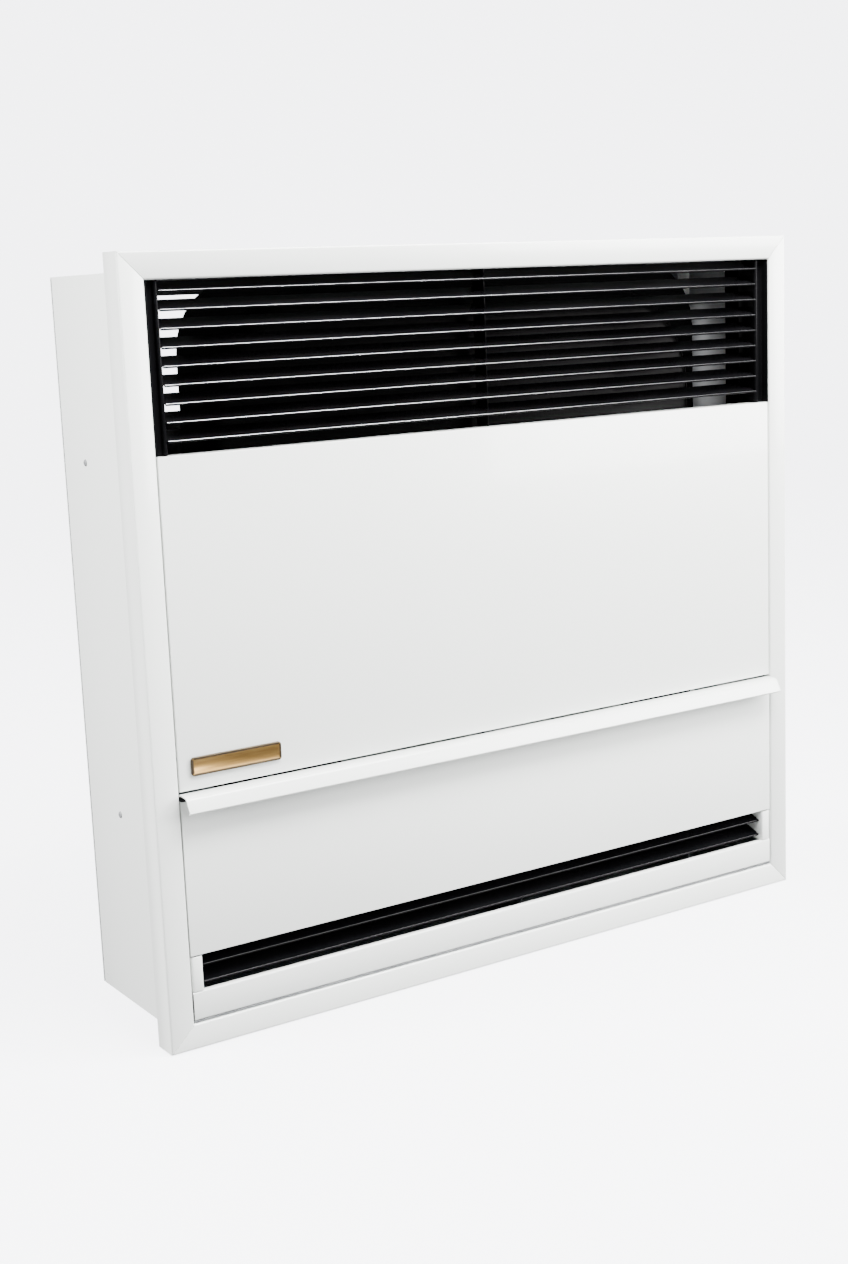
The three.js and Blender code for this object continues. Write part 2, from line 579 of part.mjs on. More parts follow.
// Skins a closed body through rings of equal count, and caps its first and last ring.
function skin(rings) {
  const count = rings[0].length;
  const positions = rings.flat(2);
  const index = [];
  for (let r = 0; r < rings.length - 1; r += 1) {
    for (let i = 0; i < count; i += 1) {
      const a = r * count + i;
      const b = r * count + ((i + 1) % count);
      index.push(a, b, b + count, a, b + count, a + count);
    }
  }
  const last = (rings.length - 1) * count;
  for (let i = 1; i < count - 1; i += 1) {
    index.push(0, i + 1, i);
    index.push(last, last + i, last + i + 1);
  }
  const geometry = new THREE.BufferGeometry();
  geometry.setAttribute('position', new THREE.Float32BufferAttribute(positions, 3));
  geometry.setIndex(index);
  return geometry;
}

function turnedInsideOut(geometry) {
  const index = Array.from(geometry.index.array);
  for (let i = 0; i < index.length; i += 3) {
    [index[i], index[i + 1]] = [index[i + 1], index[i]];
  }
  const copy = geometry.clone();
  copy.setIndex(index);
  return copy;
}

function drumHalf(rimY, faceY, rim, corner) {
  const toFace = Math.sign(faceY - rimY);
  const wall = (inset, y) => drumRing(rim + inset, y, corner - inset);
  const bend = (radius) => {
    const arc = [];
    for (let i = 0; i <= 4; i += 1) {
      const angle = (Math.PI / 2) * (i / 4);
      const inset = DRUM.crown - radius * Math.sin(angle);
      arc.push(wall(inset, faceY - toFace * (DRUM.crown - radius * Math.cos(angle))));
    }
    return arc;
  };
  const rimOuter = rimY + toFace * DRUM.sheet;
  const rings = [
    ...bend(DRUM.crown), wall(0, rimOuter), drumRing(0, rimOuter, DRUM.corner),
    drumRing(0, rimY, DRUM.corner), wall(DRUM.sheet, rimY), ...bend(DRUM.crown - DRUM.sheet).reverse(),
  ];
  const shell = skin(rings);
  return toFace > 0 ? shell : turnedInsideOut(shell);
}

function burnerDoorBlock(grow, y, thickness) {
  const { width, bottom, top } = BURNER_DOOR;
  const height = top - bottom + 2 * grow;
  return block(doorwayLeft - grow, y, bottom - grow, width + 2 * grow, thickness, height);
}

function addDrum() {
  const doorway = burnerDoorBlock(0, DRUM.front - 5, 10);
  const front = cut(drumHalf(DRUM.rimFront, DRUM.front, DRUM.frontRim, DRUM.frontCorner), doorway);
  add('drum_front', front, ENAMEL);
  const airHole = block(MIDDLE - AIR_HOLE.width / 2, DRUM.back - 5, AIR_HOLE.bottom,
    AIR_HOLE.width, 10, AIR_HOLE.height);
  const flueHole = cylinder(FLUE.radius, 10, 'y', MIDDLE, DRUM.back, FLUE_HEIGHT, 40);
  const rearPan = drumHalf(DRUM.rimFront + FIT, DRUM.back, DRUM.rearRim, DRUM.rearCorner);
  const rear = cut(rearPan, airHole, flueHole);
  add('drum_rear', rear, ENAMEL);
}

function addLiners() {
  const path = [
    [caseInside + LINER.flange, LINER.back], [caseInside, LINER.back],
    [caseInside, LINER.front], [caseInside + LINER.flange, LINER.front],
  ];
  const liner = bar(path, LINER.sheet, 'z', CASE_TOP - LINER.sink - LINER.low);
  add('side_liner_left', liner, ENAMEL, 0, 0, LINER.low);
  add('side_liner_right', mirrored(liner), ENAMEL, 0, 0, LINER.low);
}

// ---- vent: the flue runs inside the air collar ----
function addVent() {
  const start = DRUM.back + FIT;
  const end = DEPTH - FLUE.recess;
  const outer = FLUE.radius + FLUE.wall;
  const flue = ring(outer, FLUE.radius, end - start, 'y', MIDDLE, (start + end) / 2, FLUE_HEIGHT);
  add('flue_collar', flue, STEEL);
  const left = MIDDLE - DUCT.width / 2;
  const height = DUCT.top - DUCT.bottom;
  const box = block(left, start, DUCT.bottom, DUCT.width, DUCT.depth, height);
  const hollow = block(left + DUCT.sheet, start - 1, DUCT.bottom + DUCT.sheet,
    DUCT.width - 2 * DUCT.sheet, DUCT.depth + 1 - DUCT.sheet, height - 2 * DUCT.sheet);
  const collarStart = start + DUCT.depth - DUCT.sheet;
  const collar = cylinder(DUCT.collarRadius, end - collarStart, 'y',
    MIDDLE, (collarStart + end) / 2, FLUE_HEIGHT, 40);
  const bore = cylinder(DUCT.collarRadius - DUCT.sheet, DEPTH, 'y', MIDDLE, collarStart, FLUE_HEIGHT, 40);
  add('air_duct', cut(join(cut(box, hollow), collar), bore), STEEL);
}

// ---- burner and pilot, carried by the plate that closes the drum ----
const gasketFront = DRUM.front - FIT - GASKET_THICKNESS;
const plateFront = gasketFront - FIT - BURNER_DOOR.thickness;
const plateBack = plateFront + BURNER_DOOR.thickness;

function addBurner() {
  const through = (radius, x, z) => cylinder(radius, 8 * BURNER_DOOR.thickness, 'y', x, plateFront, z, 20);
  const plate = cut(burnerDoorBlock(BURNER_DOOR.cover, plateFront, BURNER_DOOR.thickness),
    through(GAS_PIPE.radius + FIT, gasPipeX, BURNER.z),
    through(SIGHT.radius - SIGHT.lap, sightX, SIGHT.z),
    through(CAPILLARY.radius + FIT, pilotX, PILOT.z),
    through(CAPILLARY.radius + FIT, thermocoupleX, PILOT.z),
    through(ELECTRODE.radius + FIT, electrodeX, PILOT.z));
  add('burner_plate', plate, STEEL);
  const gasket = cut(burnerDoorBlock(BURNER_DOOR.cover, gasketFront, GASKET_THICKNESS),
    burnerDoorBlock(0, gasketFront - 1, GASKET_THICKNESS + 2));
  add('burner_gasket', gasket, FIBRE);
  const glassY = plateFront - FIT - SIGHT.glass / 2;
  add('sight_glass', cylinder(SIGHT.radius, SIGHT.glass, 'y', sightX, glassY, SIGHT.z, 28), GLASS);

  const { length } = BURNER;
  const centre = burnerLeft + length / 2;
  const tube = cylinder(BURNER.radius, length, 'x', centre, BURNER.y, BURNER.z, 28);
  const bore = cylinder(BURNER.radius - BURNER.wall, length + 2, 'x', centre, BURNER.y, BURNER.z, 28);
  const strapDepth = BURNER.y - BURNER.radius / 2 - plateBack - FIT;
  const strap = block(centre - BURNER.strap / 2, plateBack + FIT, BURNER.z - 1, BURNER.strap, strapDepth, 2);
  const pitch = length / BURNER.ports;
  const ports = Array.from({ length: BURNER.ports }, (_, i) => block(
    burnerLeft + pitch * (i + 0.25), BURNER.y - 1, BURNER.z, pitch / 2, 2, 2 * BURNER.radius));
  add('burner_tube', cut(join(tube, strap), bore, ...ports), STEEL);

  const elbowStart = GAS_PIPE.front + GAS_PIPE.bend + FIT;
  const elbow = pipe([
    [gasPipeX, elbowStart, BURNER.z], [gasPipeX, BURNER.y, BURNER.z],
    [burnerRight + GAS_PIPE.nozzle, BURNER.y, BURNER.z],
  ], GAS_PIPE.radius, GAS_PIPE.bend);
  add('orifice_elbow', elbow, BRASS);

  const hood = block(pilotX - PILOT.width / 2, PILOT.front, PILOT.z - PILOT.height / 2,
    PILOT.width, PILOT.depth, PILOT.height);
  const foot = block(pilotX - PILOT.width / 2, plateBack + FIT, PILOT.z - PILOT.height / 2,
    PILOT.width, PILOT.front + 1 - plateBack - FIT, 2);
  const flameSlot = block(pilotX - PILOT.width / 4, PILOT.front + 3, PILOT.z, PILOT.width / 2,
    PILOT.depth, PILOT.height);
  add('pilot_burner', cut(join(hood, foot), flameSlot), CAST);
  const probeLength = ELECTRODE.tip - ELECTRODE.start;
  add('spark_electrode', cylinder(ELECTRODE.radius, probeLength, 'y', electrodeX,
    ELECTRODE.start + probeLength / 2, PILOT.z, 16), CERAMIC);
}

// ---- controls behind the access door ----
const shelfTop = BRIDGE.top + BRIDGE.sheet;
const valveBottom = shelfTop + FIT;
const buttonFront = IGNITER.front - BUTTON.gap - BUTTON.capLength;

function addBridge() {
  const { width, front, back, top, sheet, foot } = BRIDGE;
  const left = valveLeft - BRIDGE.fromValve;
  const right = left + width;
  const floor = CASE_BOTTOM + SHEET + FIT;
  const path = [
    [left - foot, floor], [left, floor], [left, top],
    [right, top], [right, floor], [right + foot, floor],
  ];
  add('control_bridge', bar(path, sheet, 'y', back - front), STEEL, 0, back);
}

function addValve() {
  const body = block(valveLeft, VALVE.front, valveBottom, VALVE.width, VALVE.depth, VALVE.height);
  const outlet = cylinder(VALVE.boss, VALVE.bossLength + 1, 'x',
    outletEnd + (VALVE.bossLength + 1) / 2, OUTLET_Y, SUPPLY_Z, 6);
  const inlet = cylinder(VALVE.boss, VALVE.bossLength + 1, 'x',
    inletEnd - (VALVE.bossLength + 1) / 2, SUPPLY_Y, SUPPLY_Z, 6);
  const wellDepth = STEM.insert + STEM.press + 1;
  const stemHole = STEM.radius + STEM.clearance;
  const dialHole = DIAL.spindle + STEM.clearance;
  const stemWell = cylinder(stemHole, 2 * wellDepth, 'y', knobX, VALVE.front, KNOB.z, 24);
  const dialWell = cylinder(dialHole, 2 * (DIAL.insert + 1), 'y', dialX, VALVE.front, DIAL.z, 20);
  add('gas_valve', cut(join(body, outlet, inlet), stemWell, dialWell), CAST);

  const discBack = VALVE.front - KNOB.gap;
  const discFront = discBack - KNOB.disc;
  const disc = cylinder(KNOB.radius, KNOB.disc, 'y', knobX, (discBack + discFront) / 2, KNOB.z, 36);
  const grip = block(knobX - KNOB.barWidth / 2, discFront - KNOB.barDepth, KNOB.z - KNOB.barLength / 2,
    KNOB.barWidth, KNOB.barDepth + 1, KNOB.barLength);
  const stemFront = discFront - KNOB.barDepth / 2;
  const socketDepth = discBack - stemFront + FIT;
  const socket = cylinder(stemHole, 2 * socketDepth, 'y', knobX, discBack, KNOB.z, 24);
  add('valve_knob', cut(join(disc, grip), socket), KNOB_PLASTIC);
  const stemBack = VALVE.front + STEM.insert;
  add('valve_stem', cylinder(STEM.radius, stemBack - stemFront, 'y', knobX,
    (stemBack + stemFront) / 2, KNOB.z, 24), BRASS);

  const dialBack = VALVE.front - FIT;
  const dial = cylinder(DIAL.radius, DIAL.length, 'y', dialX, dialBack - DIAL.length / 2, DIAL.z, 30);
  const pointer = block(dialX - 1, dialBack - DIAL.length - 1.5, DIAL.z, 2, 3, DIAL.radius - 1);
  const spindle = cylinder(DIAL.spindle, DIAL.insert + 2, 'y',
    dialX, dialBack - 1 + DIAL.insert / 2, DIAL.z, 20);
  add('temperature_dial', join(dial, pointer, spindle), KNOB_PLASTIC);
}

function addIgniter() {
  const z = valveBottom + IGNITER.radius;
  const x = igniterX;
  const { radius, front, length, bore } = IGNITER;
  const barrel = cylinder(radius, length, 'y', x, front + length / 2, z, 24);
  const hole = cylinder(BUTTON.radius + BUTTON.clearance, 2 * bore, 'y', x, front, z, 20);
  add('igniter_body', cut(barrel, hole), KNOB_PLASTIC);
  const cap = cylinder(BUTTON.cap, BUTTON.capLength, 'y', x, buttonFront + BUTTON.capLength / 2, z, 24);
  const shank = BUTTON.gap + BUTTON.insert + 1;
  const rod = cylinder(BUTTON.radius, shank, 'y', x, buttonFront + BUTTON.capLength - 1 + shank / 2, z, 20);
  add('igniter_button', join(cap, rod), RED);
}

function addPipes() {
  const manifold = pipe([
    [outletEnd - FIT, OUTLET_Y, SUPPLY_Z], [gasPipeX, OUTLET_Y, SUPPLY_Z],
    [gasPipeX, GAS_PIPE.front, SUPPLY_Z], [gasPipeX, GAS_PIPE.front, BURNER.z],
    [gasPipeX, GAS_PIPE.front + GAS_PIPE.bend, BURNER.z],
  ], GAS_PIPE.radius, GAS_PIPE.bend);
  add('manifold_pipe', manifold, STEEL);
  const valveSide = valveLeft - FIT;
  const capillary = (x, y, z, tip) => pipe([
    [valveSide, y, z], [x, y, z], [x, CAPILLARY.front, z],
    [x, CAPILLARY.front, PILOT.z], [x, tip, PILOT.z],
  ], CAPILLARY.radius, CAPILLARY.bend, 3);
  add('pilot_tube', capillary(pilotX, SUPPLY_Y, PILOT.valveZ, PILOT.front - FIT), STEEL);
  const { valveY, valveZ, tip } = THERMOCOUPLE;
  add('thermocouple', capillary(thermocoupleX, valveY, valveZ, tip), BRASS);
}

function addSupply() {
  const centre = cockStart + COCK.length / 2;
  const barrel = cylinder(COCK.radius, COCK.length, 'x', centre, SUPPLY_Y, SUPPLY_Z, 6);
  const seat = SUPPLY_Z + COCK.radius;
  const collar = cylinder(COCK.collar, COCK.radius, 'z',
    centre, SUPPLY_Y, seat - COCK.radius / 2 + 1, 24);
  const spindle = cylinder(COCK.spindle, COCK.spindleTop + 2, 'z',
    centre, SUPPLY_Y, seat + COCK.spindleTop / 2, 24);
  add('shutoff_cock', join(barrel, collar, spindle), BRASS);
  const bottom = seat + 1 + COCK.gap;
  const hubZ = bottom + LEVER.thickness / 2;
  const hub = cylinder(LEVER.width / 2, LEVER.thickness, 'z', centre, SUPPLY_Y, hubZ, 24);
  const arm = block(centre, SUPPLY_Y - LEVER.width / 2, bottom, LEVER.length, LEVER.width, LEVER.thickness);
  const holeRadius = COCK.spindle + STEM.clearance;
  const hole = cylinder(holeRadius, 3 * LEVER.thickness, 'z', centre, SUPPLY_Y, bottom, 24);
  add('shutoff_lever', cut(join(hub, arm), hole), RED);
  const inlet = pipe([
    [supplyStart, SUPPLY_Y, SUPPLY_Z], [supplyX, SUPPLY_Y, SUPPLY_Z],
    [supplyX, DEPTH - SUPPLY.recess, SUPPLY_Z],
  ], SUPPLY.radius, SUPPLY.bend);
  const bore = cylinder(SUPPLY.bore, 2 * SUPPLY.boreDepth, 'y',
    supplyX, DEPTH - SUPPLY.recess, SUPPLY_Z, 20);
  add('gas_inlet_pipe', cut(inlet, bore), STEEL);
}

addSidePanels();
addTopAndBase();
addBackPanel();
addTrim();
addOutletGrille();
addFrontPanel();
addDoor();
addInletGrille();
addDrum();
addLiners();
addVent();
addBurner();
addBridge();
addValve();
addIgniter();
addPipes();
addSupply();

export default heater;
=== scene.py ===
import math
import bmesh
import bpy
from mathutils import Matrix, Quaternion, Vector


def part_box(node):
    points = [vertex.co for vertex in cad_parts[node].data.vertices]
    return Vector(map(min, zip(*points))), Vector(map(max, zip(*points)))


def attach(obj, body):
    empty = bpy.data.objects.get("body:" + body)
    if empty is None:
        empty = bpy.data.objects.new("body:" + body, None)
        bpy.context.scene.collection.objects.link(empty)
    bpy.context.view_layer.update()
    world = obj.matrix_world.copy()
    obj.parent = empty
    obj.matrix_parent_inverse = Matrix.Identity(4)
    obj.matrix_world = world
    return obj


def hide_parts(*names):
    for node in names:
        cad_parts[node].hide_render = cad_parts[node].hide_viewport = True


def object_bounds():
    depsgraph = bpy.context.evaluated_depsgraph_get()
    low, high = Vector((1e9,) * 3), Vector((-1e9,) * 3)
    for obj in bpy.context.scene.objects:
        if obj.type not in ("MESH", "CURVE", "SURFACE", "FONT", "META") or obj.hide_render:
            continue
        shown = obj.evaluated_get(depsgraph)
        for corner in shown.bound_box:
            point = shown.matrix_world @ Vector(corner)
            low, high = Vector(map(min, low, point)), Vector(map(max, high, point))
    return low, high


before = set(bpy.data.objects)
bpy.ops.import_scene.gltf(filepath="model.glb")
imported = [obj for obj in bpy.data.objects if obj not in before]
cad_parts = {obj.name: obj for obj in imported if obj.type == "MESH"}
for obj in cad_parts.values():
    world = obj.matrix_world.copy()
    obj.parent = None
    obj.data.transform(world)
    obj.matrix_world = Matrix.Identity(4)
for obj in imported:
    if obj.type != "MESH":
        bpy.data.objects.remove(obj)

cad_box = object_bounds()
scene = bpy.context.scene


# ---- camera and studio ----
# The heater is seen from near the height of its top and well to its left. A broad lamp lights it
# from the front right, a larger one further off on the left fills the side, and a third hangs
# above the front. The room around is an even pale grey.
camera_place = (-1.0006, -1.5508, 0.3095)
camera_axis = (0.9308, -0.2964, 0.2139)
camera_angle = 1.81543
lens_data = bpy.data.cameras.new("studio_camera")
lens_data.sensor_width = 36
lens_data.lens = 51.34
lens_data.clip_end = 60
camera = bpy.data.objects.new("studio_camera", lens_data)
turn = Quaternion(camera_axis, camera_angle).inverted().to_matrix()
camera.matrix_world = (Matrix.Translation(camera_place)
                       @ (turn @ Matrix.Rotation(math.pi, 3, "X")).to_4x4())
scene.collection.objects.link(camera)
scene.camera = camera

world = bpy.data.worlds.new("studio_room")
scene.world = world
world.use_nodes = True
room = world.node_tree.nodes["Background"]
room.inputs["Color"].default_value = (0.93, 0.935, 0.955, 1)
room.inputs["Strength"].default_value = 1.05


def hang_lamp(name, place, aim, width, height, power):
    """A soft box of the given size, in metres, that faces the point aim."""
    lamp = bpy.data.lights.new(name, "AREA")
    lamp.shape = "RECTANGLE"
    lamp.size = width
    lamp.size_y = height
    lamp.energy = power
    box = bpy.data.objects.new(name, lamp)
    box.location = place
    box.rotation_euler = (Vector(aim) - Vector(place)).to_track_quat("-Z", "Y").to_euler()
    scene.collection.objects.link(box)


hang_lamp("key_softbox", place=(1.5, -1.3, 0.6), aim=(0.2, 0, 0), width=1.2, height=1.0, power=120)
hang_lamp("fill_softbox", place=(-3.0, 0.4, 1.8), aim=(0, 0, 0), width=1.6, height=1.6, power=420)
hang_lamp("top_softbox", place=(0.3, -1.0, 1.5), aim=(0, 0, 0.1), width=1.6, height=0.7, power=190)


# ---- the sheet metal trim ----
# Four mitred members of folded 1.2 mm steel frame the front. They are sprayed with a glossy
# off-white powder coat, which lies a little uneven, like orange peel.
def finish(name, colour, second, roughness, metallic=0.0, mottle=6.0, grain=700.0, depth=0.00003,
           swing=0.06, coat=0.0, gloss=0.5, stretch=(1, 1, 1)):
    """A painted, plated or moulded surface: two close colours in soft patches, a roughness that
    wanders by swing, and a fine relief of the given depth in metres."""
    made = bpy.data.materials.new(name)
    made.use_nodes = True
    tree = made.node_tree
    shader = tree.nodes["Principled BSDF"]
    shader.inputs["Metallic"].default_value = metallic
    shader.inputs["Specular IOR Level"].default_value = gloss
    shader.inputs["Coat Weight"].default_value = coat
    shader.inputs["Coat Roughness"].default_value = 0.06
    place = tree.nodes.new("ShaderNodeTexCoord")
    scaled = tree.nodes.new("ShaderNodeMapping")
    scaled.inputs["Scale"].default_value = stretch
    tree.links.new(place.outputs["Object"], scaled.inputs["Vector"])

    def noise(scale, detail):
        made_noise = tree.nodes.new("ShaderNodeTexNoise")
        made_noise.inputs["Scale"].default_value = scale
        made_noise.inputs["Detail"].default_value = detail
        tree.links.new(scaled.outputs["Vector"], made_noise.inputs["Vector"])
        return made_noise

    patches = noise(mottle, 3)
    ramp = tree.nodes.new("ShaderNodeValToRGB")
    ramp.color_ramp.elements[0].position = 0.35
    ramp.color_ramp.elements[1].position = 0.65
    ramp.color_ramp.elements[0].color = (*colour, 1)
    ramp.color_ramp.elements[1].color = (*second, 1)
    tree.links.new(patches.outputs["Fac"], ramp.inputs["Fac"])
    tree.links.new(ramp.outputs["Color"], shader.inputs["Base Color"])
    smears = noise(mottle * 4, 4)
    spread = tree.nodes.new("ShaderNodeMapRange")
    spread.inputs["To Min"].default_value = roughness - swing
    spread.inputs["To Max"].default_value = roughness + swing
    tree.links.new(smears.outputs["Fac"], spread.inputs["Value"])
    tree.links.new(spread.outputs["Result"], shader.inputs["Roughness"])
    peel = noise(grain, 2)
    bump = tree.nodes.new("ShaderNodeBump")
    bump.inputs["Strength"].default_value = 0.6
    bump.inputs["Distance"].default_value = depth
    tree.links.new(peel.outputs["Fac"], bump.inputs["Height"])
    tree.links.new(bump.outputs["Normal"], shader.inputs["Normal"])
    return made


def keep_shape(piece, body, material, smooth=34):
    """Gives a finished mesh its coat, its smooth folds and the body that it rides on."""
    piece.data.materials.clear()
    piece.data.materials.append(material)
    for face in piece.data.polygons:
        face.use_smooth = True
        face.material_index = 0
    piece.data.set_sharp_from_angle(angle=math.radians(smooth))
    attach(piece, body)
    return piece


def as_object(name, bm):
    """A new object in the scene, with bm as its mesh."""
    mesh = bpy.data.meshes.new(name)
    bm.to_mesh(mesh)
    bm.free()
    piece = bpy.data.objects.new(name, mesh)
    scene.collection.objects.link(piece)
    return piece


same_point = 0.00001
flat_angle = math.radians(0.5)
edge_angle = math.radians(28)


def eased(node, body, material, ease=0.0004, steps=2, smooth=34):
    """The solid of a node with its sharp edges eased by a small radius, as dressed metal or a
    moulding has them."""
    bm = bmesh.new()
    bm.from_mesh(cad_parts[node].data)
    bmesh.ops.remove_doubles(bm, verts=bm.verts, dist=same_point)
    bmesh.ops.dissolve_limit(bm, angle_limit=flat_angle, verts=bm.verts, edges=bm.edges,
                             use_dissolve_boundaries=False)
    edges = [edge for edge in bm.edges
             if len(edge.link_faces) == 2 and edge.calc_face_angle(0) > edge_angle]
    bmesh.ops.bevel(bm, geom=edges, offset=ease, offset_type="OFFSET", segments=steps, profile=0.5,
                    affect="EDGES", clamp_overlap=True, material=-1)
    piece = as_object(node + "_finished", bm)
    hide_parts(node)
    return keep_shape(piece, body, material, smooth)


powder_coat = finish("off_white_powder_coat", (0.74, 0.76, 0.735), (0.725, 0.745, 0.72), 0.30,
                     mottle=5, grain=620, depth=0.00005, swing=0.05, coat=0.25)
for side in ("top", "bottom", "left", "right"):
    eased("trim_" + side, "cabinet", powder_coat, ease=0.0003)


# ---- the case ----
# Two folded side panels and a top panel in the same coat go back to the wall. The inner faces of
# the sides are dark grey, a painted shade for inside the case, and the two pan-head screws in
# each side are the same dark grey.
# Painted shade: a dark grey stands in for the shade on the inner faces of the sides.
inner_shade_and_screw_grey = finish("painted_shade_inside_case_and_dark_screws", (0.20, 0.205, 0.21), (0.16, 0.165, 0.17), 0.5,
                     mottle=16, grain=500, depth=0.00005, swing=0.08)
both_sides = (("left", -1), ("right", 1))
for word, way in both_sides:
    panel = eased("side_panel_" + word, "cabinet", powder_coat, ease=0.0003)
    panel.data.materials.append(inner_shade_and_screw_grey)
    for face in panel.data.polygons:
        if face.normal.x * way < -0.9:
            face.material_index = 1
eased("top_panel", "cabinet", powder_coat, ease=0.0003)


def pan_head(name, centre, outward, radius=0.0032, rise=0.0016):
    """A pan-head screw with a cross recess, at centre, whose head stands out along outward."""
    top_radius = radius * 0.78
    rim_round = radius * 0.22
    cross_bar = (radius * 1.1, radius * 0.24, rise * 0.1)
    bar_height = rise * 0.98
    near_top = rise * 0.9
    bm = bmesh.new()
    made = bmesh.ops.create_cone(bm, cap_ends=True, segments=24, radius1=radius, radius2=top_radius,
                                 depth=rise)
    bmesh.ops.translate(bm, verts=made["verts"], vec=(0, 0, rise / 2))
    rims = [edge for edge in bm.edges
            if all(vert.co.z > near_top for vert in edge.verts) and len(edge.link_faces) == 2]
    bmesh.ops.bevel(bm, geom=rims, offset=rim_round, offset_type="OFFSET", segments=3, profile=0.5,
                    affect="EDGES", clamp_overlap=True, material=-1)
    for angle in (0, math.pi / 2):
        bar = bmesh.ops.create_cube(bm, size=1.0)
        bmesh.ops.scale(bm, verts=bar["verts"], vec=cross_bar)
        bmesh.ops.rotate(bm, verts=bar["verts"], cent=(0, 0, 0), matrix=Matrix.Rotation(angle, 3, "Z"))
        bmesh.ops.translate(bm, verts=bar["verts"], vec=(0, 0, bar_height))
    aim = Vector(outward).to_track_quat("Z", "Y").to_matrix().to_4x4()
    bmesh.ops.transform(bm, matrix=Matrix.Translation(centre) @ aim, verts=bm.verts)
    return as_object(name, bm)


half_width = -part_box("side_panel_left")[0][0]
upper_screw = (-0.0503, 0.1727)
lower_screw = (-0.0702, -0.1463)
for count, (y, z) in enumerate((upper_screw, lower_screw), 1):
    for word, way in both_sides:
        screw = pan_head(f"side_screw_{word}_{count}", (way * half_width, y, z), (way, 0, 0), rise=0.0012)
        keep_shape(screw, "cabinet", inner_shade_and_screw_grey)


# ---- the warm air grille ----
# Nine blades hang between two stepped channels, steadied in the middle by a thin comb, all stove
# enamelled black. Each is a thin sheet rolled into a bead along its front, and a band along the top
# of each bead is light grey metal as a painted highlight, dimmer towards the right.
black_enamel = finish("black_stove_enamel", (0.0015, 0.0015, 0.0018), (0.003, 0.003, 0.0034), 0.22,
                      mottle=9, grain=420, depth=0.00004, swing=0.04, gloss=0.02)
# Painted highlight: the band along the top of each bead is light grey metal.
bright_bead_highlight = finish("bright_painted_highlight_on_bead", (0.56, 0.56, 0.58), (0.62, 0.62, 0.64), 0.34,
                     metallic=0.9, mottle=14, grain=420, depth=0.000002, swing=0.02)
tree = bright_bead_highlight.node_tree
places = tree.nodes["Texture Coordinate"]
across = tree.nodes.new("ShaderNodeSeparateXYZ")
tree.links.new(places.outputs["Object"], across.inputs["Vector"])
# The painted highlight is dimmed from full at the left end to about a seventh at the right end.
highlight_fade = tree.nodes.new("ShaderNodeMapRange")
highlight_fade.inputs["From Min"].default_value = -0.33
highlight_fade.inputs["From Max"].default_value = 0.31
highlight_fade.inputs["To Min"].default_value = 1.0
highlight_fade.inputs["To Max"].default_value = 0.14
tree.links.new(across.outputs["X"], highlight_fade.inputs["Value"])
dimmed_highlight = tree.nodes.new("ShaderNodeVectorMath")
dimmed_highlight.operation = "SCALE"
shade = tree.nodes["Principled BSDF"].inputs["Base Color"]
tree.links.new(shade.links[0].from_socket, dimmed_highlight.inputs["Vector"])
tree.links.new(highlight_fade.outputs["Result"], dimmed_highlight.inputs["Scale"])
tree.links.new(dimmed_highlight.outputs["Vector"], shade)
for side in ("left", "right"):
    eased("grille_channel_" + side, "cabinet", black_enamel, ease=0.0003)
eased("grille_centre_comb", "cabinet", black_enamel, ease=0.0002)


def new_points(made):
    """The points among what an extrude has made."""
    return [item for item in made["geom"] if isinstance(item, bmesh.types.BMVert)]


bead_radius = 0.0011
blade_sheet = 0.001
blade_depth = 0.021
blade_rise = 0.0084
tab_length = 0.0018
tab_depth = 0.0126
bright_from, bright_to = 30, 64


